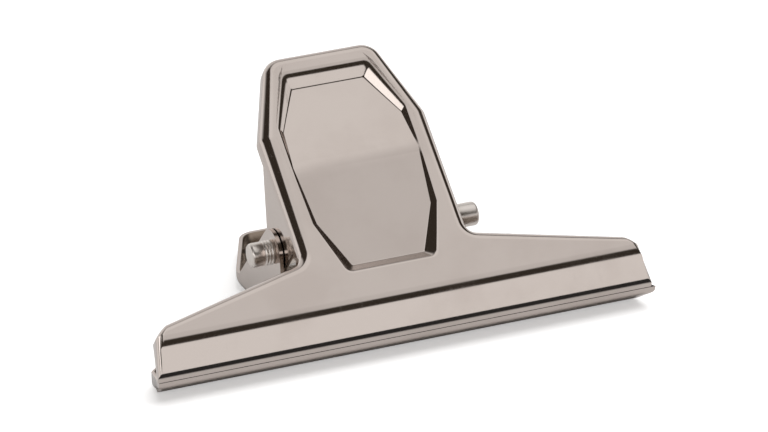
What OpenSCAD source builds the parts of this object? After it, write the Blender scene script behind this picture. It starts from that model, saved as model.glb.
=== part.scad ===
// Large letter clip: two pressed sheet plates on one pivot pin, held shut by a torsion spring.
// The clip lies on its rear plate, jaws towards -Y, handles towards +Y, jaw line along X.
// The origin is on the ground, below the middle of the clip's bounding box.

/* [Sheet] */
// Thickness of the pressed sheet
sheet = 0.9; // [0.7:0.05:1.1]
// Outer radius of the bend round the handle's free end, the shoulders and the jaw's ends
rim_bend_r = 2.4; // [2:0.1:2.8]
// Outer radius of the fuller bend along the neck
neck_bend_r = 4; // [3:0.1:4.2]
// Depth of the stiffening rim, from the outer face to its cut edge
rim_depth = 4.8; // [4:0.1:5.2]

/* [Plate outline] */
// Length of the front jaw along X
jaw_width = 125; // [110:1:140]
// How much further the rear jaw reaches at each end
rear_jaw_reach = 1.2; // [0:0.1:2]
// Width of the front handle's neck, over its two flanges
neck_width = 42.4; // [38:0.2:46]
// Width of the handle at its free end, over the rim
top_width = 27.2; // [23:0.2:30]
// Height of the handle's widest corner above the jaw bend
widest_height = 46.2; // [45:0.1:50]
// Height of the handle's free end above the jaw bend
top_height = 66.3; // [64:0.1:72]
// Height of the inner end of each shoulder above the jaw bend
shoulder_root_height = 13.4; // [12:0.1:14]
// Height of the outer end of each shoulder above the jaw bend
shoulder_end_height = 4.2; // [4:0.1:5]
// Corner radius at the handle's free end
top_corner_r = 5; // [4:0.1:6]
// Corner radius at the handle's widest point
widest_corner_r = 4; // [3:0.1:6]
// Fillet radius between the neck and a shoulder
shoulder_root_r = 2.6; // [2:0.1:3]
// Radius at the outer end of a shoulder
shoulder_end_r = 3; // [2.6:0.1:3.4]

/* [Jaw] */
// Length of the sloping jaw face, along the plate
jaw_face = 6.8; // [6:0.1:8]
// Drop of the sloping jaw face, square to the plate
jaw_slant = 4.1; // [3.4:0.1:4.4]
// Width of the lip that turns in to the biting edge
lip_depth = 2; // [1.7:0.1:2.4]
// Outer radius of the bend between the flat plate and the jaw face
jaw_bend_r = 2.8; // [2.2:0.1:3.2]
// Outer radius of the bend between the jaw face and the lip
lip_bend_r = 1.8; // [1.4:0.05:2]
// Gap between the two biting edges when the clip is shut
bite_gap = 0.2; // [0.1:0.05:0.4]

/* [Handle recess] */
// Depth of the recess pressed into each handle, at its upper edge
recess_depth = 2; // [1.4:0.1:2.2]
// Its depth at the waist, where its two floors meet in a low ridge
waist_depth = 0.3; // [0.2:0.1:0.8]
// Height of the waist above the jaw bend
waist_height = 37; // [34:0.5:40]
// Its depth at its lower edge
low_depth = 1.3; // [0.8:0.1:1.8]
// Height of its lower edge above the jaw bend
recess_low = 9.7; // [9.2:0.1:12]
// Height of its lower side corners
recess_low_side = 26; // [22:0.5:30]
// Height of its upper side corners
recess_high_side = 48; // [45:0.5:50]
// Distance of its upper edge from the handle's free end
recess_top_margin = 4.7; // [4.2:0.1:6]
// Half width of its lower edge
recess_low_half = 11.4; // [9:0.1:13]
// Half width at its side corners
recess_side_half = 16.1; // [14:0.1:16.2]
// Half width of its upper edge
recess_top_half = 10.2; // [8:0.1:10.4]
// Width of its sloping wall along the lower sides
recess_side_wall = 2; // [1.5:0.1:3]
// Width of its sloping wall at the waist
recess_waist_wall = 1.2; // [0.8:0.1:2]
// Width of its sloping wall along the lower edge
recess_low_wall = 1.9; // [1.5:0.1:3]
// Width of its sloping wall along the upper edge
recess_top_wall = 3.8; // [3:0.1:4.5]
// Corner radius of the recess at its rim
recess_corner_r = 2.2; // [1.5:0.1:2.5]
// Corner radius of its floor
floor_corner_r = 0.5; // [0.3:0.1:1]

/* [Pivot] */
// Angle between the two plates when the clip is shut
spread = 41; // [38:0.5:42]
// Height of the pin above the front plate's jaw bend
pin_height = 23.4; // [23:0.1:24.5]
// Depth of the pin's axis below the front plate's outer face
pin_drop = 14.7; // [14:0.1:15.5]
// Diameter of the pin
pin_d = 5.4; // [4.8:0.1:5.6]
// Radial clearance of the pin in the front ears, which turn on it
front_clearance = 0.05; // [0.03:0.01:0.08]
// Radial clearance of the pin in the rear ears
rear_clearance = 0.03; // [0.02:0.01:0.05]
// Radius of an ear's round end
ear_r = 5.4; // [5:0.1:5.6]
// Gap between a front ear and the rear ear outside it
ear_gap = 0.25; // [0.2:0.05:0.4]
// Length of the pin left of the clip's middle
pin_left = 28.6; // [27:0.1:32]
// Length of the pin right of the clip's middle
pin_right = 30.6; // [28:0.1:34]
// Number of turned ridges on the pin beside each rear ear
ridge_count = 3; // [2:1:3]
// Spacing of the ridges
ridge_pitch = 1; // [0.8:0.05:1.1]
// Height of the ridges above the pin's barrel
ridge_height = 0.3; // [0.2:0.05:0.4]
// Radius of the pin's rounded ends
pin_round = 0.8; // [0.5:0.1:1.2]

/* [Spring] */
// Diameter of the spring wire
wire_d = 1.6; // [1.4:0.1:1.8]
// Gap between the coil and the pin
coil_clearance = 0.3; // [0.2:0.05:0.5]
// Gap between neighbouring turns of the coil
coil_gap = 0.5; // [0.45:0.05:0.7]
// Turns in the coil
curls = 12; // [8:1:13]
// Distance from the pin to each foot of the spring, along its plate
leg_reach = 20; // [17:0.5:20.5]
// Gap between each foot and the plate that it presses on
foot_gap = 0.3; // [0.2:0.05:0.5]

/* [Hidden] */
$fn = 64;

nickel = [0.78, 0.75, 0.72];
pin_steel = [0.70, 0.69, 0.67];
spring_steel = [0.58, 0.57, 0.56];

half_spread = spread / 2;
pin_r = pin_d / 2;
front_neck_half = neck_width / 2;
rear_neck_half = front_neck_half + ear_gap + sheet;

// Distance of the jaw bend from the line where the two plates' outer planes meet
apex_to_bend = jaw_face + (lip_depth + bite_gap / 2 + jaw_slant * cos(half_spread)) / sin(half_spread);

// The pin as the rear plate sees it: along the plate from that line, and above its outer face
pin_y = (apex_to_bend + pin_height) * cos(spread) + pin_drop * sin(spread);
pin_z = (apex_to_bend + pin_height) * sin(spread) - pin_drop * cos(spread);
rear_pin_height = pin_y - apex_to_bend;

// Where a rim's wall starts to run straight down to the jaw, and the rim bend's steps
foot_y = 1;
bend_steps = 4;
flat_margin = 0.4;
ear_step = 0.3;
ear_slope_from = 45;

// Steps round each corner of the outline and of the recess
end_steps = 4;
root_steps = 5;
widest_steps = 3;
top_steps = 5;
recess_steps = 3;

function unit(v) = v / norm(v);
function flat(p) = [p[0], p[1]];
function side_normal(a, b) = let (d = unit(b - a)) [d[1], -d[0]];

// Points of a rounded corner and their normals, [x, y, nx, ny]; a negative radius makes it hollow
function corner_arc(before, corner, after, radius, steps) =
    let (
        n1 = side_normal(before, corner),
        n2 = side_normal(corner, after),
        centre = corner - radius * (n1 + n2) / (1 + n1 * n2),
        start = atan2(n1[1], n1[0]),
        turn = atan2(cross(n1, n2), n1 * n2)
    )
    [for (k = [0:steps])
        let (a = start + turn * k / max(steps, 1), n = [cos(a), sin(a)])
        concat(centre + radius * n, n)];

// A path of [x, y, radius, steps] entries; the first and the last only give directions
function rounded(path) =
    [for (i = [1:len(path) - 2])
        each corner_arc(flat(path[i - 1]), flat(path[i]), flat(path[i + 1]), path[i][2], path[i][3])];
// A point of an outline moved in along its normal
function moved_in(p, inset) = [p[0] - inset * p[2], p[1] - inset * p[3]];

// Section of the jaw, [y, z] in the plate's frame, from the flat plate to the biting edge
jaw_corner = [-jaw_face, -jaw_slant];
bite_edge = jaw_corner + lip_depth * [-sin(half_spread), -cos(half_spread)];
jaw_line = concat(
    corner_arc([10, 0], [0, 0], jaw_corner, jaw_bend_r, 2),
    corner_arc([0, 0], jaw_corner, bite_edge, lip_bend_r, 2),
    [concat(bite_edge, side_normal(jaw_corner, bite_edge))]);

// Heights at which the ear's cut edge changes, for a pin at height h and depth d
function ear_low(h) = h - ear_r;
function slope_y(h) = h + ear_r * cos(ear_slope_from);
function slope_depth(d) = d + ear_r * sin(ear_slope_from);
function ear_rows(h, d) = concat(
    [ear_low(h) - ear_step],
    [for (a = [180:-15:ear_slope_from]) h + ear_r * cos(a)],
    [slope_y(h) + slope_depth(d) - rim_depth]);
// Depth of the rim's cut edge at height y
function edge_depth(y, h, d) =
    y < ear_low(h) - ear_step / 2 ? rim_depth
    : y < slope_y(h) ? d + sqrt(max(0, ear_r * ear_r - (y - h) * (y - h)))
    : max(rim_depth, slope_depth(d) - (y - slope_y(h)));

// Right-hand half of a plate's outline, from the jaw's end up to the middle of the free end
function half_path(jaw_half, neck_half, h, d) = concat(
    [
        [jaw_half, 0],
        [jaw_half, foot_y, 0, 0],
        [jaw_half, shoulder_end_height, shoulder_end_r, end_steps],
        [neck_half, shoulder_root_height, -shoulder_root_r, root_steps]
    ],
    [for (y = ear_rows(h, d)) [neck_half, y, 0, 0]],
    [
        [neck_half, widest_height, widest_corner_r, widest_steps],
        [top_width / 2, top_height, top_corner_r, top_steps],
        [0, top_height]
    ]);

// Radius of the bend at height y: fuller along the neck, easing off to the widest corner
function bend_r_at(y) = lookup(y, [
    [shoulder_root_height - shoulder_root_r, rim_bend_r],
    [shoulder_root_height + shoulder_root_r, neck_bend_r],
    [recess_low_side, neck_bend_r],
    [widest_height, rim_bend_r]
]);

// Inset and height of ring k at a bend of radius r: the wall's end, the bend, then the flat face
function rim_step(k, skin, r) =
    k > bend_steps + 1
    ? [r + flat_margin, -skin]
    : let (a = 90 * (k - 1) / bend_steps)
      [r - (r - skin) * cos(a), (r - skin) * sin(a) - r];

// One closed ring of a skin; ring 0 is the cut edge
function ring(k, skin, outline, h, d) =
    let (
        jaw = moved_in(jaw_line[bend_steps + 2 - k], skin),
        side = [for (p = outline)
            let (
                step = k == 0 ? [skin, -edge_depth(p[1], h, d)] : rim_step(k, skin, bend_r_at(p[1])),
                q = moved_in(p, step[0])
            )
            [q[0], q[1], step[1]]],
        half = concat([[side[0][0], jaw[0], jaw[1]]], side)
    )
    concat(half, [for (p = reversed(half)) [-p[0], p[1], p[2]]]);

// Right-hand half of an eight-sided outline with rounded corners, and a point on its side at the waist
function eight_sided(corners, radius) =
    rounded(concat(
        [[0, corners[0][1]]],
        [for (c = corners) c[1] == waist_height ? [c[0], c[1], 0, 0] : [c[0], c[1], radius, recess_steps]],
        [[0, corners[4][1]]]));
recess_top = top_height - recess_top_margin;
floor_top = recess_top - recess_top_wall;
recess_rim = eight_sided(
    [
        [recess_low_half, recess_low],
        [recess_side_half, recess_low_side],
        [recess_side_half, waist_height],
        [recess_side_half, recess_high_side],
        [recess_top_half, recess_top]
    ],
    recess_corner_r);
recess_floor = eight_sided(
    [
        [recess_low_half - recess_side_wall / 2, recess_low + recess_low_wall],
        [recess_side_half - recess_side_wall, recess_low_side],
        [recess_side_half - recess_waist_wall, waist_height],
        [recess_side_half - recess_waist_wall, recess_high_side - recess_waist_wall],
        [recess_top_half - recess_waist_wall, floor_top]
    ],
    floor_corner_r);
// Depth of the floor at height y: deepest at its upper edge, shallow at the waist
function floor_depth(y) = lookup(y, [
    [recess_low, low_depth],
    [waist_height, waist_depth],
    [floor_top, recess_depth]
]);
// Shares of the wall's width and depth, from the rim over its soft edge down to the floor
wall_share = [0, 0.12, 0.28, 0.85, 1];
wall_drop = [0, 0.05, 0.18, 0.87, 1];
function recess_ring(k, skin) =
    let (
        half = [for (i = [0:len(recess_rim) - 1])
            let (
                a = recess_rim[i],
                b = recess_floor[i],
                t = wall_share[k],
                z = -skin - wall_drop[k] * floor_depth(b[1])
            )
            [a[0] + (b[0] - a[0]) * t, a[1] + (b[1] - a[1]) * t, z]]
    )
    concat(half, [for (p = reversed(half)) [-p[0], p[1], p[2]]]);

// Faces between two rings of n points that start at points low and high
function loop_faces(low, high, n) =
    [for (i = [0:n - 1]) let (j = (i + 1) % n)
        each [[low + i, low + j, high + j], [low + i, high + j, high + i]]];
function reversed(face) = [for (i = [len(face) - 1:-1:0]) face[i]];

// Right half of the flat face round an inner ring, as fans that turn at matching corners
function flat_half(outer, inner, outer_stops, inner_stops) =
    [for (s = [0:len(outer_stops) - 1])
        let (
            from = s == 0 ? 0 : outer_stops[s - 1],
            to = outer_stops[s],
            inner_from = inner_stops[s],
            inner_to = inner_stops[s + 1]
        )
        each concat(
            [for (i = [from:1:to - 1]) [outer + i, outer + i + 1, inner + inner_from]],
            [for (j = [inner_from:1:inner_to - 1]) [inner + j, outer + to, inner + j + 1]])];
// The same face on the left: its points count back round each ring
function mirrored_face(face, outer, n, inner, m) =
    [for (i = reversed(face)) i < inner ? 2 * outer + n - 1 - i : 2 * inner + m - 1 - i];

// A pressed plate in its own frame: y up from the jaw bend, z outward, outer face at z = 0
module pressed_plate(jaw_half, neck_half, h, d) {
    outline = rounded(half_path(jaw_half, neck_half, h, d));
    rim_rings = bend_steps + 3;
    wall_rings = len(wall_share);
    n = len(ring(0, 0, outline, h, d));
    m = len(recess_ring(0, 0));
    recess_start = rim_rings * n;
    skin_points = recess_start + wall_rings * m;
    flat_ring = recess_start - n;
    floor_ring = skin_points - m;
    end_last = 2 + end_steps;
    root_last = end_last + 1 + root_steps;
    widest_last = root_last + len(ear_rows(h, d)) + 1 + widest_steps;
    top_last = widest_last + 1 + top_steps;
    corner = recess_steps + 1;
    right_flat = flat_half(flat_ring, recess_start,
        [end_last, root_last, widest_last, top_last],
        [0, corner - 1, 2 * corner - 1, 3 * corner, m / 2 - 1]);
    // Parts of the flat face that cross the middle, below and above the recess
    middle_flat = [
        [flat_ring + n - 1, flat_ring, recess_start, recess_start + m - 1],
        [flat_ring + n / 2 - 1, flat_ring + n / 2, recess_start + m / 2, recess_start + m / 2 - 1]
    ];
    skins = [for (skin = [0, sheet])
        concat(
            [for (k = [0:rim_rings - 1]) each ring(k, skin, outline, h, d)],
            [for (k = [0:wall_rings - 1]) each recess_ring(k, skin)])];
    outer_faces = concat(
        [for (k = [0:rim_rings - 2]) each loop_faces(k * n, (k + 1) * n, n)],
        right_flat,
        middle_flat,
        [for (f = right_flat) mirrored_face(f, flat_ring, n, recess_start, m)],
        [for (k = [0:wall_rings - 2])
            each loop_faces(recess_start + k * m, recess_start + (k + 1) * m, m)],
        [for (i = [0:m / 2 - 2])
            [floor_ring + i, floor_ring + i + 1, floor_ring + m - 2 - i, floor_ring + m - 1 - i]]);
    inner_faces = [for (f = outer_faces) [for (i = reversed(f)) i + skin_points]];
    cut_edge = [for (i = [0:n - 1]) let (j = (i + 1) % n)
        each [[i, i + skin_points, j + skin_points], [i, j + skin_points, j]]];
    polyhedron(
        points = concat(skins[0], skins[1]),
        faces = [for (f = concat(outer_faces, inner_faces, cut_edge)) reversed(f)],
        convexity = 8);
}

// Cutter for the bore through both ears of a plate
module ear_bore(h, d, clearance) {
    translate([0, h, -d])
    rotate([0, 90, 0])
    cylinder(r = pin_r + clearance, h = jaw_width, center = true);
}

// Middle of the clip along Y: between the front plate's bite and the rear handle's end
lowest_y = min([for (p = jaw_line) (apex_to_bend + p[0]) * cos(spread) - p[1] * sin(spread)]);
y_mid = (lowest_y + apex_to_bend + top_height) / 2;

module front_plate() {
    color(nickel)
    translate([0, -y_mid, 0])
    rotate([spread, 0, 0])
    translate([0, apex_to_bend, 0])
    difference() {
        pressed_plate(jaw_width / 2, front_neck_half, pin_height, pin_drop);
        ear_bore(pin_height, pin_drop, front_clearance);
    }
}

module rear_plate() {
    color(nickel)
    translate([0, apex_to_bend - y_mid, 0])
    rotate([0, 180, 0])
    difference() {
        pressed_plate(jaw_width / 2 + rear_jaw_reach, rear_neck_half, rear_pin_height, pin_z);
        ear_bore(rear_pin_height, pin_z, rear_clearance);
    }
}

// Section of one ridge: share of its pitch along the pin, and share of its height
ridge_rows = [[0, 0], [0.25, 0.85], [0.5, 1], [0.75, 0.85], [1, 0]];
// Half profile of one end of the pin, [radius, distance from the clip's middle]
function pin_end(reach) =
    let (
        from = rear_neck_half + ear_gap / 2,
        top_r = pin_r + ridge_height,
        groove_r = pin_r - ridge_height / 2
    )
    concat(
        [[0, 0], [pin_r, 0], [pin_r, from]],
        [for (i = [0:ridge_count - 1])
            each [for (row = ridge_rows)
                [groove_r + (top_r - groove_r) * row[1], from + (i + row[0]) * ridge_pitch]]],
        [[pin_r, from + ridge_count * ridge_pitch]],
        [for (a = [0:30:90]) [pin_r - pin_round * (1 - cos(a)), reach - pin_round * (1 - sin(a))]],
        [[0, reach]]);

module pivot_pin() {
    color(pin_steel)
    translate([0, pin_y - y_mid, pin_z]) {
        rotate([0, 90, 0]) rotate_extrude() polygon(pin_end(pin_right));
        rotate([0, -90, 0]) rotate_extrude() polygon(pin_end(pin_left));
    }
}

// Spring, as points relative to the pin; its legs run up inside the two handles
rings_per_curl = 8;
wire_sides = 6;
bend_points = 4;
coil_r = (pin_r + coil_clearance + wire_d / 2) / cos(180 / rings_per_curl);
foot_level = sheet + floor_depth(pin_height + leg_reach) + foot_gap;
leg_bend = wire_d;
along_front = [cos(spread), sin(spread)];
into_front = [sin(spread), -cos(spread)];
rear_foot = [leg_reach, foot_level - pin_z];
rear_knee = rear_foot + [0, wire_d + leg_bend];
front_foot = leg_reach * along_front - (pin_drop - foot_level) * into_front;
front_knee = front_foot + (wire_d + leg_bend) * into_front;
coil_start = atan2(rear_knee[1], rear_knee[0]) - acos(coil_r / norm(rear_knee));
coil_end = atan2(front_knee[1], front_knee[0]) + acos(coil_r / norm(front_knee));
coil_total = 360 * curls + coil_start - coil_end;
coil_steps = round(coil_total * rings_per_curl / 360);
coil_span = (wire_d + coil_gap) * coil_total / 360;

// Points of one leg from its foot to the coil, in the plane x
function leg(x, foot, knee, tangent_point) =
    let (
        a = knee + leg_bend * unit(foot - knee),
        b = knee + leg_bend * unit(tangent_point - knee)
    )
    concat(
        [[x, foot[0], foot[1]]],
        [for (k = [0:bend_points])
            let (
                t = k / bend_points,
                p = a * (1 - t) * (1 - t) + 2 * t * (1 - t) * knee + b * t * t
            )
            [x, p[0], p[1]]]);
function coil_point(k) =
    let (t = k / coil_steps, a = coil_start - coil_total * t)
    [coil_span * (t - 0.5), coil_r * cos(a), coil_r * sin(a)];
rear_leg = leg(-coil_span / 2, rear_foot, rear_knee, coil_r * [cos(coil_start), sin(coil_start)]);
front_leg = leg(coil_span / 2, front_foot, front_knee, coil_r * [cos(coil_end), sin(coil_end)]);
wire_path = concat(rear_leg, [for (k = [0:coil_steps]) coil_point(k)], reversed(front_leg));
wire_last = len(wire_path) - 1;

// Least gap between two parts of the wire more than half a turn apart, measured on points along it
samples = 4;
wire_samples = [for (i = [0:wire_last - 1], k = [0:samples - 1])
    wire_path[i] + (wire_path[i + 1] - wire_path[i]) * k / samples];
wire_lengths = [for (i = 0, run = 0; i < len(wire_samples);
    run = run + (i + 1 < len(wire_samples) ? norm(wire_samples[i + 1] - wire_samples[i]) : 0),
    i = i + 1) run];
least_wire_gap = min([for (i = [0:len(wire_samples) - 1], j = [i + 1:1:len(wire_samples) - 1])
    if (wire_lengths[j] - wire_lengths[i] > PI * coil_r) norm(wire_samples[j] - wire_samples[i])]) - wire_d;
echo(least_wire_gap = least_wire_gap);

function wire_direction(i) = unit(wire_path[min(i + 1, wire_last)] - wire_path[max(i - 1, 0)]);
wire_points = [for (i = [0:wire_last])
    let (
        t = wire_direction(i),
        b1 = unit([1, 0, 0] - t[0] * t),
        b2 = cross(t, b1)
    )
    each [for (s = [0:wire_sides - 1])
        let (a = 360 * s / wire_sides)
        wire_path[i] + wire_d / 2 * (cos(a) * b1 + sin(a) * b2)]];
wire_faces = concat(
    [for (i = [0:wire_last - 1]) each loop_faces(i * wire_sides, (i + 1) * wire_sides, wire_sides)],
    [for (s = [1:wire_sides - 2]) [0, s + 1, s]],
    [for (s = [1:wire_sides - 2]) [for (v = [0, s, s + 1]) wire_last * wire_sides + v]]);

module torsion_spring() {
    color(spring_steel)
    translate([0, pin_y - y_mid, pin_z])
    polyhedron(points = wire_points, faces = [for (f = wire_faces) reversed(f)], convexity = 10);
}

front_plate();
rear_plate();
pivot_pin();
torsion_spring();
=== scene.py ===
"""Looks of a large nickel-plated letter clip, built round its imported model."""

import math

import bpy
import numpy as np
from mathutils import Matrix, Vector


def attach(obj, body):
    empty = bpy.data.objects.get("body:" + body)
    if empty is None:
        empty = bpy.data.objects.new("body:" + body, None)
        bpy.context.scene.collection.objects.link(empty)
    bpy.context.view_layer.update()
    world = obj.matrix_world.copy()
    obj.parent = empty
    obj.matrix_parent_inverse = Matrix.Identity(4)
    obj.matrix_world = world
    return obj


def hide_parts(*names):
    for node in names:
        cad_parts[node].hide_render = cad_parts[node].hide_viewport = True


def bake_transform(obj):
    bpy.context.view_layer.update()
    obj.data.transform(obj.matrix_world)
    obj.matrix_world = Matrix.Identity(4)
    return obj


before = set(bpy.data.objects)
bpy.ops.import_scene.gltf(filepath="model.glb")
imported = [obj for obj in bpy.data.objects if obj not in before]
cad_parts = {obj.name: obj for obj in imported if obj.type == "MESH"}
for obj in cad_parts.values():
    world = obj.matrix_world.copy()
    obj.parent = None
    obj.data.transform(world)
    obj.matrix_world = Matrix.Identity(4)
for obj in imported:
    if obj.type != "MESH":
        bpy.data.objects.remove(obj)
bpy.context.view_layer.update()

MM = 0.001

# ---------------------------------------------------------------- sizes, in mm
SHEET = 0.9
RIM_BEND = 2.4
NECK_BEND = 3.0
WIDEST_BEND = 3.5
RIM_DEPTH = 4.8
JAW_HALF = 62.5
REAR_JAW_REACH = 1.2
FRONT_NECK = 21.2
EAR_GAP = 0.25
REAR_NECK = FRONT_NECK + EAR_GAP + SHEET
TOP_HALF = 13.6
WIDEST_HEIGHT = 46.2
TOP_HEIGHT = 66.3
ROOT_HEIGHT = 13.4
END_HEIGHT = 4.2
TOP_R = 5.0
WIDEST_R = 4.0
ROOT_R = 2.6
END_R = 3.0
FOOT = 1.75
END_SPAN = 7.5
END_HEIGHTS = (-6.0, -3.5, -1.2, 1.1, 3.3, 5.0, 6.0)
END_SHARES = (1.0, 0.99, 0.96, 0.87, 0.64, 0.45, 0.40)
REAR_LEFT_TRIM = 1.6
TRIM_FROM, TRIM_SPAN = 40.0, 20.0
JAW_FACE = 6.8
JAW_SLANT = 4.1
LIP = 2.0
JAW_BEND = 6.0
LIP_BEND = 2.6
BITE_GAP = 0.2
RECESS_DEPTH = 2.1
WAIST_DEPTH = 0.15
LOW_DEPTH = 2.0
RECESS_R = 2.2
FLOOR_R = 0.5
LOW_SIDE, WAIST, HIGH_SIDE = 22.0, 37.0, 48.0
FLOOR_LOW, FLOOR_HIGH = 9.7, 57.8
WAIST_SPACING = 1.5
SPREAD = math.radians(41)
PIN_HEIGHT = 23.4
PIN_DROP = 14.7
PIN_R = 2.7
EAR_R = 5.4
# where on its round the ear's straight slope begins, in degrees from the plate's way up
EAR_SLOPE_FROM = 45
EAR_STEP = 0.3
BORE_CLEARANCE = 0.04
CUTTER_HALF = 40.0
BARREL_EXTRA = 0.2
BARREL_LEAD = 0.3
BARREL_ROUND = 0.8
END_FLAT_R = 0.25
PIN_LEFT = 28.0
PIN_RIGHT = 29.9
RIDGES = 3
RIDGE_PITCH = 0.75
RIDGE_HEIGHT = 0.3
RIDGE_FULLNESS = 0.7
WIRE_R = 0.8
COIL_GAP = 0.5
COIL_CLEARANCE = 0.3
CURLS = 12
LEG_REACH = 20.0
FOOT_GAP = 0.3

HALF_SPREAD = SPREAD / 2
APEX = JAW_FACE + (LIP + BITE_GAP / 2 + JAW_SLANT * math.cos(HALF_SPREAD)) / math.sin(HALF_SPREAD)
PIN_Y = (APEX + PIN_HEIGHT) * math.cos(SPREAD) + PIN_DROP * math.sin(SPREAD)
PIN_Z = (APEX + PIN_HEIGHT) * math.sin(SPREAD) - PIN_DROP * math.cos(SPREAD)
REAR_PIN_HEIGHT = PIN_Y - APEX

# ---------------------------------------------------------------- fineness of the meshes
BEND_STEPS = 16
BEND_EASE = 1.6
FLAT_MARGIN = 0.3
END_STEPS = 10
ROOT_STEPS = 10
WIDEST_STEPS = 7
TOP_STEPS = 12
RECESS_STEPS = 6
RECESS_RINGS = 15
WAIST_ROWS = 5
# shares of the recess wall's width that are rounded, at the rim (waist, top) and at the floor
RIM_ROUNDS = (0.25, 0.55)
FLOOR_ROUND = 0.06
TURNED_SIDES = 96
RIDGE_STEPS = 10
BARREL_STEPS = 8
COIL_STEPS = 40
# sides of one curl of the solids' coil, whose corners stand a little further out
SOLID_CURL_SIDES = 8
KNEE_STEPS = 10
LEG_SHARES = (0.25, 0.5, 0.75, 0.93)
WIRE_SIDES = 14
# share of the coil's half length that reach is set to; nothing in this script reads reach
BLEND_SHARE = 0.98
# how near a point lies to a face, or to the jaw's line, to count as on it, in mm
ON_FACE = 0.001
ON_LINE = 0.01
# the recess's floor gets exact normals where it lies deeper than FLOOR_FROM, and they turn from
# one slope to the other over RIDGE_HALF on each side of the waist, in mm
FLOOR_FROM = 0.28
RIDGE_HALF = 3


# ---------------------------------------------------------------- shader maths
class Tree:
    """A node tree in which any node is made by one call."""

    def __init__(self, tree):
        self.tree = tree

    def node(self, kind, settings=None, **inputs):
        made = self.tree.nodes.new(kind)
        for key, value in (settings or {}).items():
            setattr(made, key, value)
        for key, value in inputs.items():
            by_number = key[0] == "i" and key[1:].isdigit()
            socket = made.inputs[int(key[1:]) if by_number else key.replace("_", " ")]
            if isinstance(value, Wire):
                self.tree.links.new(value.socket, socket)
            else:
                socket.default_value = value
        return made

    def wire(self, kind, output=0, settings=None, **inputs):
        return Wire(self, self.node(kind, settings, **inputs).outputs[output])


class Wire:
    """A socket with arithmetic: each operator adds its Math node."""

    def __init__(self, tree, socket):
        self.tree = tree
        self.socket = socket

    def math(self, operation, *values):
        inputs = {f"i{k}": value for k, value in enumerate(values)}
        return self.tree.wire("ShaderNodeMath", 0, {"operation": operation}, **inputs)

    def __add__(self, other):
        return self.math("ADD", self, other)

    __radd__ = __add__

    def __mul__(self, other):
        return self.math("MULTIPLY", self, other)

    __rmul__ = __mul__

    def __sub__(self, other):
        return self.math("SUBTRACT", self, other)

    def __rsub__(self, other):
        return self.math("SUBTRACT", other, self)

    def step(self, low, high):
        """0 below low, 1 above high, smooth between."""
        settings = {"interpolation_type": "SMOOTHSTEP"}
        inputs = {"Value": self, "From_Min": low, "From_Max": high}
        return self.tree.wire("ShaderNodeMapRange", 0, settings, **inputs)

    def dot(self, direction):
        settings = {"operation": "DOT_PRODUCT"}
        return self.tree.wire("ShaderNodeVectorMath", "Value", settings, i0=self, i1=direction)


def blend_colours(tree, share, first, second):
    made = tree.node("ShaderNodeMix", {"data_type": "RGBA"})
    for number, value in ((0, share), (6, first), (7, second)):
        if isinstance(value, Wire):
            tree.tree.links.new(value.socket, made.inputs[number])
        else:
            made.inputs[number].default_value = value
    return Wire(tree, made.outputs[2])


def plated_metal(name, colour, worn, roughness, peel_scale, bump_depth):
    """Plated steel: faint orange peel, rolling grain along X, hair scratches and dulled patches."""
    material = bpy.data.materials.new(name)
    material.use_nodes = True
    material.node_tree.nodes.clear()
    tree = Tree(material.node_tree)
    place = tree.wire("ShaderNodeTexCoord", "Object")

    def noise(where, scale, detail, **more):
        return tree.wire("ShaderNodeTexNoise", 0, Vector=where, Scale=scale, Detail=detail, **more)

    stretched = tree.wire("ShaderNodeMapping", 0, Vector=place, Scale=(120.0, 1400.0, 1400.0))
    grain = noise(stretched, 1.0, 3.0, Roughness=0.6)
    peel = noise(place, peel_scale, 2.0, Roughness=0.5)
    patches = noise(place, 55.0, 4.0, Roughness=0.55)
    slanted = {"Scale": (900.0, 60.0, 200.0), "Rotation": (0.0, 0.0, 0.5)}
    hairs = tree.wire("ShaderNodeMapping", 0, Vector=place, **slanted)
    scratches = noise(hairs, 1.0, 2.0).step(0.66, 0.72)
    dull = patches.step(0.42, 0.7)
    tint = blend_colours(tree, dull * 0.6, (*colour, 1.0), (*worn, 1.0))
    rough = dull * 0.05 + grain * 0.03 + scratches * 0.06 + (roughness - 0.04)
    height = peel * 0.5 + grain * 0.2 - scratches * 0.15
    bump = tree.wire("ShaderNodeBump", 0, Strength=0.35, Distance=bump_depth, Height=height)
    looks = {"Base_Color": tint, "Metallic": 1.0, "Roughness": rough, "Normal": bump}
    shader = tree.wire("ShaderNodeBsdfPrincipled", 0, **looks)
    tree.node("ShaderNodeOutputMaterial", Surface=shader)
    return material


NICKEL = plated_metal(
    "nickel_plate", (0.72, 0.640, 0.594), (0.66, 0.580, 0.534), 0.13, 260.0, 0.00003
)
# The inner skin's copy of the plating is rougher, and its darker colour is painted shade for the
# faces inside the clip.
NICKEL_INSIDE_SHADED = plated_metal(
    "nickel_plate_inside_painted_shade", (0.60, 0.535, 0.48), (0.50, 0.44, 0.395), 0.26, 260.0, 0.00005
)
PIN_METAL = plated_metal(
    "turned_nickel_pin", (0.86, 0.80, 0.75), (0.74, 0.68, 0.63), 0.34, 420.0, 0.00002
)
SPRING_WIRE = plated_metal(
    "drawn_spring_wire", (0.56, 0.53, 0.50), (0.44, 0.41, 0.38), 0.24, 600.0, 0.00003
)


# ---------------------------------------------------------------- plates
def unit(v):
    v = np.asarray(v, float)
    return v / np.linalg.norm(v)


def side_normal(a, b):
    d = unit(np.asarray(b, float) - np.asarray(a, float))
    return np.array([d[1], -d[0]])


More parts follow.
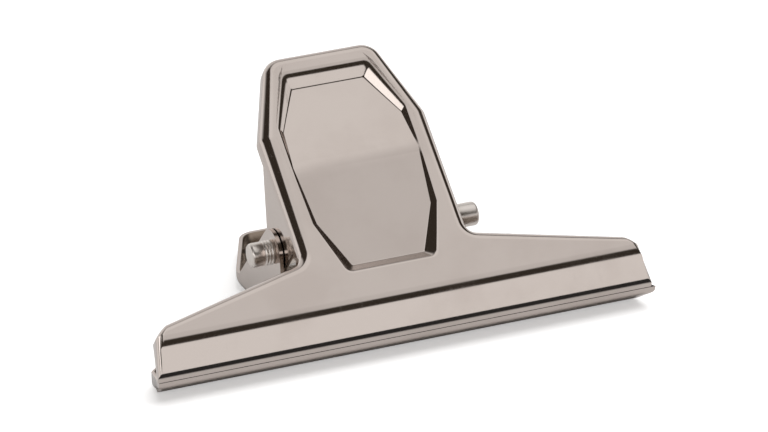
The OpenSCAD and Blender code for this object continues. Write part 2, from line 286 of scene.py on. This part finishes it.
def corner_arc(before, corner, after, radius, steps):
    """Points of a rounded corner with their normals, as (x, y, nx, ny)."""
    n1, n2 = side_normal(before, corner), side_normal(corner, after)
    corner = np.asarray(corner, float)
    centre = corner - radius * (n1 + n2) / (1 + n1 @ n2)
    start = math.atan2(n1[1], n1[0])
    turn = math.atan2(n1[0] * n2[1] - n1[1] * n2[0], n1 @ n2)
    points = []
    for k in range(steps + 1):
        a = start + turn * k / max(steps, 1)
        normal = np.array([math.cos(a), math.sin(a)])
        points.append((*(centre + radius * normal), *normal))
    return points


def rounded(path):
    points = []
    for before, (x, y, radius, steps), after in zip(path, path[1:-1], path[2:]):
        points += corner_arc(before[:2], (x, y), after[:2], radius, steps)
    return points


def moved_in(p, inset):
    return p[0] - inset * p[2], p[1] - inset * p[3]


def jaw_line():
    corner = (-JAW_FACE, -JAW_SLANT)
    bite = np.array(corner) + LIP * np.array([-math.sin(HALF_SPREAD), -math.cos(HALF_SPREAD)])
    line = corner_arc((10, 0), (0, 0), corner, JAW_BEND, BEND_STEPS // 2)
    line += corner_arc((0, 0), corner, bite, LIP_BEND, BEND_STEPS // 2)
    return line + [(*bite, *side_normal(corner, bite))]


def bend_r_at(y):
    """Radius of the rim's bend at height y: fuller along the neck."""
    heights = (ROOT_HEIGHT - ROOT_R, ROOT_HEIGHT + ROOT_R, LOW_SIDE, WIDEST_HEIGHT, TOP_HEIGHT - 2)
    return float(np.interp(y, heights, (RIM_BEND, NECK_BEND, NECK_BEND, WIDEST_BEND, RIM_BEND)))


def end_share(y):
    """Share left at height y of the jaw's last END_SPAN: its ends round off to the shoulder."""
    return float(np.interp(y, END_HEIGHTS, END_SHARES))


class Plate:
    """One pressed plate in its own frame: y up from the jaw's bend, z outward from its face."""

    def __init__(self, jaw_half, neck, pin_height, pin_depth):
        slope_from = math.radians(EAR_SLOPE_FROM)
        self.jaw_half = jaw_half
        self.pin_height = pin_height
        self.pin_depth = pin_depth
        self.low = pin_height - EAR_R
        self.slope_y = pin_height + EAR_R * math.cos(slope_from)
        self.slope_d = pin_depth + EAR_R * math.sin(slope_from)
        rows = [self.low - EAR_STEP]
        angles = range(180, EAR_SLOPE_FROM - 1, -5)
        rows += [pin_height + EAR_R * math.cos(math.radians(a)) for a in angles]
        rows.append(self.slope_y + self.slope_d - RIM_DEPTH)
        path = [(jaw_half, 0), (jaw_half, FOOT, 0, 0), (jaw_half, END_HEIGHT, END_R, END_STEPS)]
        path.append((neck, ROOT_HEIGHT, -ROOT_R, ROOT_STEPS))
        path += [(neck, y, 0, 0) for y in rows]
        path.append((neck, WIDEST_HEIGHT, WIDEST_R, WIDEST_STEPS))
        path.append((TOP_HALF, TOP_HEIGHT, TOP_R, TOP_STEPS))
        path.append((0, TOP_HEIGHT))
        self.outline = rounded(path)
        self.row_count = len(rows)

    def edge_depth(self, y):
        """Depth of the cut edge at height y: the rim's, or the ear's round the pin and above it."""
        if y < self.low - EAR_STEP / 2:
            return RIM_DEPTH
        if y < self.slope_y:
            return self.pin_depth + math.sqrt(max(0.0, EAR_R**2 - (y - self.pin_height) ** 2))
        return max(RIM_DEPTH, self.slope_d - (y - self.slope_y))

    def ring(self, k, skin):
        """Ring k of one skin: the cut edge, then the wall's end, the bend and the flat face."""
        jaw = moved_in(jaw_line()[BEND_STEPS + 2 - k], skin)
        side = []
        for p in self.outline:
            r = bend_r_at(p[1])
            if k == 0:
                inset, z = skin, -self.edge_depth(p[1])
            elif k > BEND_STEPS + 1:
                inset, z = r + FLAT_MARGIN, -skin
            else:
                a = math.pi / 2 * (1 - (1 - (k - 1) / BEND_STEPS) ** BEND_EASE)
                inset, z = r - (r - skin) * math.cos(a), (r - skin) * math.sin(a) - r
            side.append((*moved_in(p, inset), z))
        half = [(side[0][0], *jaw)] + side
        begin = self.jaw_half - END_SPAN
        half = [(min(x, begin) + max(x - begin, 0) * end_share(y), y, z) for x, y, z in half]
        return half + [(-x, y, z) for x, y, z in reversed(half)]


def recess_outline(corners, waist_half, radius):
    """Right half of the recess's outline, with rows of points on its side round the waist."""
    path = [(0, corners[0][1])] + [(x, y, radius, RECESS_STEPS) for x, y in corners[:2]]
    (x0, y0), (x1, y1) = corners[1:3]
    for k in range(WAIST_ROWS):
        y = WAIST + WAIST_SPACING * (k - WAIST_ROWS // 2)
        path.append((float(np.interp(y, (y0, WAIST, y1), (x0, waist_half, x1))), y, 0, 0))
    path += [(x, y, radius, RECESS_STEPS) for x, y in corners[2:]] + [(0, corners[-1][1])]
    return rounded(path)


RIM_CORNERS = [(11.6, 7.9), (15.9, LOW_SIDE), (16.6, HIGH_SIDE + 0.3), (11.6, 62.2)]
RIM_WAIST_HALF = 16.4
RECESS_RIM = recess_outline(RIM_CORNERS, RIM_WAIST_HALF, RECESS_R)
FLOOR_CORNERS = [(9.0, 10.8), (14.4, LOW_SIDE + 0.4), (14.9, HIGH_SIDE - 1.2), (9.0, FLOOR_HIGH)]
FLOOR_WAIST_HALF = 15.8
RECESS_FLOOR = recess_outline(FLOOR_CORNERS, FLOOR_WAIST_HALF, FLOOR_R)


def floor_depth(y):
    """Depth of the recess's floor at height y: two slopes that meet in a ridge at the waist."""
    depths = (LOW_DEPTH, WAIST_DEPTH, RECESS_DEPTH)
    return float(np.interp(y, (FLOOR_LOW, WAIST, FLOOR_HIGH), depths))


def wall_drop(s, rim_round):
    """Share of the recess's depth at share s of its wall's width, rounded at both ends."""
    slope = 1 / (1 - rim_round / 2 - FLOOR_ROUND / 2)
    if s < rim_round:
        return slope * s * s / (2 * rim_round)
    if s > 1 - FLOOR_ROUND:
        return 1 - slope * (1 - s) ** 2 / (2 * FLOOR_ROUND)
    return slope * (s - rim_round / 2)


def recess_ring(k, skin):
    """Ring k of the recess's wall on one skin, from its rim to its floor."""
    s = k / (RECESS_RINGS - 1)
    half = []
    for a, b in zip(RECESS_RIM, RECESS_FLOOR):
        rim_round = float(np.interp(a[1], (WAIST, HIGH_SIDE), RIM_ROUNDS))
        z = -skin - floor_depth(b[1]) * wall_drop(s, rim_round)
        half.append(((1 - s) * a[0] + s * b[0], (1 - s) * a[1] + s * b[1], z))
    return half + [(-x, y, z) for x, y, z in reversed(half)]


def loop_faces(low, high, n):
    return [(low + i, low + (i + 1) % n, high + (i + 1) % n, high + i) for i in range(n)]


def plate_mesh(plate):
    """Points and faces of a whole plate: outer skin, inner skin and cut edge."""
    rim_rings = BEND_STEPS + 3
    n, m = len(plate.ring(0, 0)), len(recess_ring(0, 0))
    start = rim_rings * n
    flat = start - n
    total = start + RECESS_RINGS * m
    points = []
    for skin in (0, SHEET):
        for k in range(rim_rings):
            points += plate.ring(k, skin)
        for k in range(RECESS_RINGS):
            points += recess_ring(k, skin)
    outer = []
    for k in range(rim_rings - 1):
        outer += loop_faces(k * n, (k + 1) * n, n)
    # the flat face, as polygons between matching stretches of the two rings
    corner = RECESS_STEPS + 1
    end_last = 2 + END_STEPS
    root_last = end_last + 1 + ROOT_STEPS
    widest_last = root_last + plate.row_count + 1 + WIDEST_STEPS
    top_last = widest_last + 1 + TOP_STEPS
    stops = [0, end_last, root_last, widest_last, top_last]
    turns = [0] + [c * corner - 1 + (WAIST_ROWS if c > 2 else 0) for c in (1, 2, 3, 4)]
    right = []
    for s in range(4):
        for i in range(stops[s], stops[s + 1]):
            right.append((flat + i, flat + i + 1, start + turns[s]))
        for j in range(turns[s], turns[s + 1]):
            right.append((start + j, flat + stops[s + 1], start + j + 1))

    def mirrored(i):
        return (2 * flat + n if i < start else 2 * start + m) - 1 - i

    outer += right
    outer += [tuple(mirrored(i) for i in reversed(face)) for face in right]
    outer.append((flat + n - 1, flat, start, start + m - 1))
    outer.append((flat + n // 2 - 1, flat + n // 2, start + m // 2, start + m // 2 - 1))
    for k in range(RECESS_RINGS - 1):
        outer += loop_faces(start + k * m, start + (k + 1) * m, m)
    bottom = start + (RECESS_RINGS - 1) * m
    for i in range(m // 2 - 1):
        outer.append((bottom + i, bottom + i + 1, bottom + m - 2 - i, bottom + m - 1 - i))
    inner = [tuple(i + total for i in reversed(f)) for f in outer]
    edge = [(i, i + total, (i + 1) % n + total, (i + 1) % n) for i in range(n)]
    return points, outer, inner, edge


def make_object(name, points, faces, place):
    mesh = bpy.data.meshes.new(name)
    mesh.from_pydata([place(p) for p in points], [], faces)
    mesh.validate()
    made = bpy.data.objects.new(name, mesh)
    bpy.context.scene.collection.objects.link(made)
    return made


def turned(profile, sides):
    """A turned solid along X from its half profile of (radius, x)."""
    points, faces = [], []
    for r, x in profile:
        for k in range(sides):
            a = math.tau * k / sides
            points.append((x, r * math.cos(a), r * math.sin(a)))
    for i in range(len(profile) - 1):
        for k in range(sides):
            j = (k + 1) % sides
            faces.append((i * sides + k, i * sides + j, (i + 1) * sides + j, (i + 1) * sides + k))
    faces.append(tuple(reversed(range(sides))))
    last = (len(profile) - 1) * sides
    faces.append(tuple(last + k for k in range(sides)))
    return points, faces


def keep(obj, body, node, materials, sharp=35.0):
    """Final shading and materials, the piece's body, and its CAD node hidden."""
    for material in materials:
        obj.data.materials.append(material)
    obj.data.shade_smooth()
    obj.data.set_sharp_from_angle(angle=math.radians(sharp))
    if body:
        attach(obj, body)
    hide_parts(node)


def cut_bore(obj, centre):
    bore_r = PIN_R + BORE_CLEARANCE
    points, faces = turned([(bore_r, -CUTTER_HALF), (bore_r, CUTTER_HALF)], TURNED_SIDES)
    cutter = make_object("bore_cutter", points, faces, lambda p: centre + Vector(p) * MM)
    modifier = obj.modifiers.new("bore", "BOOLEAN")
    modifier.object = cutter
    modifier.operation = "DIFFERENCE"
    modifier.solver = "EXACT"
    graph = bpy.context.evaluated_depsgraph_get()
    mesh = bpy.data.meshes.new_from_object(obj.evaluated_get(graph))
    obj.modifiers.clear()
    obj.data = mesh
    bpy.data.objects.remove(cutter)


jaw = np.array(jaw_line())
JAW_FRONT = float(((APEX + jaw[:, 0]) * math.cos(SPREAD) - jaw[:, 1] * math.sin(SPREAD)).min())
Y_MID = (JAW_FRONT + APEX + TOP_HEIGHT) / 2


def place_front(p):
    y, z = APEX + p[1], p[2]
    c, s = math.cos(SPREAD), math.sin(SPREAD)
    return Vector((p[0], y * c - z * s - Y_MID, y * s + z * c)) * MM


def place_rear(p):
    # the rear jaw sits a little to the right, so its left end reaches less far
    trim = REAR_LEFT_TRIM * min(1.0, max(0.0, (p[0] - TRIM_FROM) / TRIM_SPAN))
    return Vector((trim - p[0], APEX - Y_MID + p[1], -p[2])) * MM


PIN_CENTRE = Vector((0, PIN_Y - Y_MID, PIN_Z)) * MM


def even_normals(obj, place):
    """Exact normals on the jaw's bends, the flats and the recess's floor, so no facet shows."""
    mesh = obj.data
    origin = place((0.0, 0.0, 0.0))
    outward = (place((0.0, 0.0, 1.0)) - origin).normalized()
    upward = (place((0.0, 1.0, 0.0)) - origin).normalized()
    normals = [Vector(corner.vector) for corner in mesh.corner_normals]
    low_slope = (WAIST_DEPTH - LOW_DEPTH) / (WAIST - FLOOR_LOW)
    high_slope = (RECESS_DEPTH - WAIST_DEPTH) / (FLOOR_HIGH - WAIST)
    ridge = (WAIST - RIDGE_HALF, WAIST + RIDGE_HALF)
    line = np.array(jaw_line())
    skins = [np.array([moved_in(p, skin) for p in line]) for skin in (0, SHEET)]

    def jaw_normal(y, height):
        for sign, skin in ((1, skins[0]), (-1, skins[1])):
            gaps = np.linalg.norm(skin - np.array([y, height]), axis=1)
            k = int(gaps.argmin())
            if gaps[k] < ON_LINE:
                along, out = (float(sign * part) for part in line[k][2:])
                return (upward * along + outward * out).normalized()
        return None

    for polygon in mesh.polygons:
        facing = polygon.normal.dot(outward)
        middle = (polygon.center - origin).dot(outward) / MM
        across = [mesh.vertices[v].co.x / MM for v in polygon.vertices]
        is_long = max(across) - min(across) > JAW_HALF and abs(polygon.normal.x) < 0.001
        is_floor = facing > 0.98 and -SHEET - RECESS_DEPTH < middle < -FLOOR_FROM
        for loop in polygon.loop_indices:
            point = mesh.vertices[mesh.loops[loop].vertex_index].co - origin
            y, height = point.dot(upward) / MM, point.dot(outward) / MM
            if is_floor:
                slope = float(np.interp(y, ridge, (low_slope, high_slope)))
                normals[loop] = (outward + slope * upward).normalized()
            elif facing > 0.9 and abs(height) < ON_FACE:
                normals[loop] = outward
            elif facing < -0.9 and abs(height + SHEET) < ON_FACE:
                normals[loop] = -outward
            elif is_long:
                normals[loop] = jaw_normal(y, height) or normals[loop]
    mesh.normals_split_custom_set(normals)


def make_plate(name, plate, place, body, node):
    points, outer, inner, edge = plate_mesh(plate)
    obj = make_object(name, points, outer + inner + edge, place)
    # the inner skin takes the darker copy of the plating, whose darker colour is painted shade
    slots = [0] * len(outer) + [1] * len(inner) + [0] * len(edge)
    obj.data.polygons.foreach_set("material_index", slots)
    for material in (NICKEL, NICKEL_INSIDE_SHADED):
        obj.data.materials.append(material)
    cut_bore(obj, PIN_CENTRE)
    keep(obj, body, node, ())
    even_normals(obj, place)


front_shape = Plate(JAW_HALF, FRONT_NECK, PIN_HEIGHT, PIN_DROP)
make_plate("front_plate_pressed", front_shape, place_front, "front", "front_plate")
rear_shape = Plate(JAW_HALF + REAR_JAW_REACH, REAR_NECK, REAR_PIN_HEIGHT, PIN_Z)
make_plate("rear_plate_pressed", rear_shape, place_rear, "rear", "rear_plate")


# ---------------------------------------------------------------- pin
def pin_side(reach):
    """Profile from the middle of the pin to one end: barrel, ridges, barrel, rounded end."""
    begin = REAR_NECK + EAR_GAP / 2
    side = [(PIN_R, begin)]
    for i in range(RIDGES):
        for k in range(1, RIDGE_STEPS + 1):
            wave = (1 - math.cos(math.tau * k / RIDGE_STEPS)) / 2
            r = PIN_R + RIDGE_HEIGHT * wave**RIDGE_FULLNESS
            side.append((r, begin + (i + k / RIDGE_STEPS) * RIDGE_PITCH))
    barrel = PIN_R + BARREL_EXTRA
    side.append((barrel, begin + RIDGES * RIDGE_PITCH + BARREL_LEAD))
    inner, shoulder = barrel - BARREL_ROUND, reach - BARREL_ROUND
    for k in range(BARREL_STEPS + 1):
        a = math.pi / 2 * k / BARREL_STEPS
        side.append((inner + BARREL_ROUND * math.cos(a), shoulder + BARREL_ROUND * math.sin(a)))
    side.append((END_FLAT_R, reach))
    return side


profile = [(r, -x) for r, x in reversed(pin_side(PIN_LEFT))] + pin_side(PIN_RIGHT)
points, faces = turned(profile, TURNED_SIDES)
pin = make_object("pivot_pin_turned", points, faces, lambda p: PIN_CENTRE + Vector(p) * MM)
keep(pin, "rear", "pivot_pin", (PIN_METAL,), sharp=50.0)


# ---------------------------------------------------------------- spring
def spring_path():
    """Middle line of the wire round the pin's centre, both legs included, and the coil's length."""
    coil_r = (PIN_R + COIL_CLEARANCE + WIRE_R) / math.cos(math.pi / SOLID_CURL_SIDES)
    foot_level = SHEET + floor_depth(PIN_HEIGHT + LEG_REACH) + FOOT_GAP
    bend = 2 * WIRE_R
    c, s = math.cos(SPREAD), math.sin(SPREAD)
    along, into = np.array([c, s]), np.array([s, -c])
    rear_foot = np.array([LEG_REACH, foot_level - PIN_Z])
    rear_knee = rear_foot + np.array([0, 2 * WIRE_R + bend])
    front_foot = LEG_REACH * along - (PIN_DROP - foot_level) * into
    front_knee = front_foot + (2 * WIRE_R + bend) * into
    start = math.atan2(rear_knee[1], rear_knee[0]) - math.acos(coil_r / np.linalg.norm(rear_knee))
    end = math.atan2(front_knee[1], front_knee[0]) + math.acos(coil_r / np.linalg.norm(front_knee))
    total = math.tau * CURLS + start - end
    span = (2 * WIRE_R + COIL_GAP) * total / math.tau
    steps = round(total / math.tau * COIL_STEPS)

    def leg(x, foot, knee, angle):
        tangent_point = coil_r * np.array([math.cos(angle), math.sin(angle)])
        a = knee + bend * unit(foot - knee)
        b = knee + bend * unit(tangent_point - knee)
        points = [(x, *(foot + (a - foot) * t)) for t in (0, 0.5)]
        for k in range(KNEE_STEPS + 1):
            t = k / KNEE_STEPS
            points.append((x, *(a * (1 - t) ** 2 + 2 * t * (1 - t) * knee + b * t * t)))
        points += [(x, *(b + (tangent_point - b) * t)) for t in LEG_SHARES]
        return points

    path = leg(-span / 2, rear_foot, rear_knee, start)
    for k in range(steps + 1):
        t = k / steps
        a = start - total * t
        path.append((span * (t - 0.5), coil_r * math.cos(a), coil_r * math.sin(a)))
    path += reversed(leg(span / 2, front_foot, front_knee, end))
    return np.array(path), span


def tube(path, radius, sides):
    """A round wire along a path."""
    points, faces = [], []
    count = len(path)
    for i in range(count):
        t = unit(path[min(i + 1, count - 1)] - path[max(i - 1, 0)])
        b1 = unit(np.array([1.0, 0, 0]) - t[0] * t)
        b2 = np.cross(t, b1)
        for k in range(sides):
            a = math.tau * k / sides
            points.append(path[i] + radius * (math.cos(a) * b1 + math.sin(a) * b2))
    for i in range(count - 1):
        for k in range(sides):
            j = (k + 1) % sides
            faces.append((i * sides + k, i * sides + j, (i + 1) * sides + j, (i + 1) * sides + k))
    faces.append(tuple(reversed(range(sides))))
    faces.append(tuple((count - 1) * sides + k for k in range(sides)))
    return points, faces


path, span = spring_path()
points, faces = tube(path, WIRE_R, WIRE_SIDES)
spring = make_object("torsion_spring_wound", points, faces, lambda p: PIN_CENTRE + Vector(p) * MM)
keep(spring, None, "torsion_spring", (SPRING_WIRE,))
reach = Vector((span / 2 * MM, 0, 0)) * BLEND_SHARE
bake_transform(spring)


# ---------------------------------------------------------------- floor, light and camera
# distances in metres, levels from 0, black, to 1, white
WHITE = (1.0, 1.0, 1.0, 1.0)
FLOOR_RADIUS = 1.2
FLOOR_DROP = 0.00002
FLOOR_PALE = 0.9
FLOOR_GLOW = 0.42
FLOOR_DIMMED, STRIP_DIMMED = 0.21, 0.66
STRIP_NEAR, STRIP_FAR = (0.040, 0.045), (0.12, 0.16)


def make_floor():
    """A pale floor, a little darker where the metal reflects it, with a dark strip ahead."""
    mesh = bpy.data.meshes.new("floor")
    turns = [math.tau * k / TURNED_SIDES for k in range(TURNED_SIDES)]
    rim = [(FLOOR_RADIUS * math.cos(a), FLOOR_RADIUS * math.sin(a), 0.0) for a in turns]
    mesh.from_pydata(rim, [], [tuple(range(TURNED_SIDES))])
    floor = bpy.data.objects.new("floor", mesh)
    bpy.context.scene.collection.objects.link(floor)
    floor.location.z = -FLOOR_DROP
    material = bpy.data.materials.new("pale_floor")
    material.use_nodes = True
    material.node_tree.nodes.clear()
    tree = Tree(material.node_tree)
    camera = tree.wire("ShaderNodeLightPath", "Is Camera Ray")
    glossy = tree.wire("ShaderNodeLightPath", "Is Glossy Ray")
    place = tree.wire("ShaderNodeTexCoord", "Object")
    ahead = place.dot((0.0, -1.0, 0.0))
    strip = ahead.step(*STRIP_NEAR) * (1 - ahead.step(*STRIP_FAR))
    pale = FLOOR_PALE - glossy * (FLOOR_DIMMED + strip * STRIP_DIMMED)
    colour = tree.wire("ShaderNodeCombineColor", 0, Red=pale, Green=pale, Blue=pale)
    matt = tree.wire("ShaderNodeBsdfDiffuse", 0, Color=colour)
    glow = tree.wire("ShaderNodeEmission", 0, Color=WHITE, Strength=camera * FLOOR_GLOW)
    both = tree.wire("ShaderNodeAddShader", 0, i0=matt, i1=glow)
    tree.node("ShaderNodeOutputMaterial", Surface=both)
    mesh.materials.append(material)


# each patch of the studio: its direction, and the cosines to it between which it fades in
CEILING = ((0.25, -0.08, 0.96), 0.77, 0.83)
CEILING_BEHIND = ((0.0, 1.0, 0.0), -0.42, -0.12)
BACK = ((0.0, 1.0, 0.0), 0.45, 0.75)
RIGHT = ((1.0, 0.0, 0.0), 0.62, 0.80)
WINDOW = ((-0.78, -0.49, 0.39), 0.955, 0.972)
DOOR = ((-0.60, 0.30, 0.74), 0.93, 0.955)
# heights between which the band at the horizon fades out, and how much lower that is at the right
HORIZON = (0.27, 0.36)
HORIZON_FALL = 0.1
CEILING_LEVEL, CEILING_RISE = 0.62, 0.16
HORIZON_LEVEL, BACK_LEVEL, WINDOW_LEVEL, BLACK_LEVEL = 0.80, 0.62, 1.4, 0.026
WARMTH = 0.011


def make_world():
    """A pale studio as the metal sees it. The camera sees it white.

    The ceiling and the band at the horizon are bright, with black between them and grey behind.
    A dark door cuts the ceiling at the left, and a small window shines in front at the left.
    """
    world = bpy.data.worlds.new("studio")
    bpy.context.scene.world = world
    world.use_nodes = True
    world.node_tree.nodes.clear()
    tree = Tree(world.node_tree)
    way = tree.wire("ShaderNodeTexCoord", "Generated")

    def patch(direction, low, high):
        return way.dot(tuple(Vector(direction).normalized())).step(low, high)

    height = way.dot((0.0, 0.0, 1.0))
    horizon = 1 - (height + patch(*RIGHT) * HORIZON_FALL).step(*HORIZON)
    ceiling = patch(*CEILING) * (patch(*CEILING_BEHIND) * CEILING_RISE + CEILING_LEVEL)
    level = ceiling * (1 - patch(*DOOR))
    bright = (horizon * HORIZON_LEVEL, patch(*BACK) * BACK_LEVEL, patch(*WINDOW) * WINDOW_LEVEL)
    for shine in bright:
        level = level.math("MAXIMUM", level, shine)
    level = level + BLACK_LEVEL
    camera = tree.wire("ShaderNodeLightPath", "Is Camera Ray")
    shown = camera + (1 - camera) * level
    warm = (1 - camera) * WARMTH
    red, green, blue = shown + warm, shown + warm * 0.4, shown - warm * 0.2
    tint = tree.wire("ShaderNodeCombineColor", 0, Red=red, Green=green, Blue=blue)
    background = tree.wire("ShaderNodeBackground", 0, Color=tint, Strength=1.0)
    tree.node("ShaderNodeOutputWorld", Surface=background)


def make_lamp():
    data = bpy.data.lights.new("soft_daylight", "SUN")
    data.energy = 1.5
    data.angle = math.radians(40)
    lamp = bpy.data.objects.new("soft_daylight", data)
    lamp.rotation_euler = (math.radians(12), math.radians(10), 0)
    lamp.visible_glossy = False
    bpy.context.scene.collection.objects.link(lamp)


CAMERA_AZIMUTH = math.radians(-21.763)
CAMERA_ELEVATION = math.radians(23.985)
CAMERA_ROLL = math.radians(-1.564)
CAMERA_SHIFT = (8.245, 19.837)
CAMERA_DISTANCE = 1529.891
CAMERA_LENS = 300.0


def make_camera():
    a, e, r = CAMERA_AZIMUTH, CAMERA_ELEVATION, CAMERA_ROLL
    back = Vector((math.sin(a) * math.cos(e), -math.cos(a) * math.cos(e), math.sin(e)))
    level = Vector((math.cos(a), math.sin(a), 0))
    up = back.cross(level)
    right = math.cos(r) * level + math.sin(r) * up
    up = math.cos(r) * up - math.sin(r) * level
    place = (back * CAMERA_DISTANCE + right * CAMERA_SHIFT[0] + up * CAMERA_SHIFT[1]) * MM
    data = bpy.data.cameras.new("camera")
    data.lens = CAMERA_LENS
    data.clip_start = 0.05
    data.clip_end = 20.0
    camera = bpy.data.objects.new("camera", data)
    matrix = camera.matrix_world.copy()
    for column, axis in enumerate((right, up, back, place)):
        for row in range(3):
            matrix[row][column] = axis[row]
    camera.matrix_world = matrix
    bpy.context.scene.collection.objects.link(camera)
    bpy.context.scene.camera = camera


make_floor()
make_world()
make_lamp()
make_camera()
bpy.context.scene.view_settings.view_transform = "Standard"
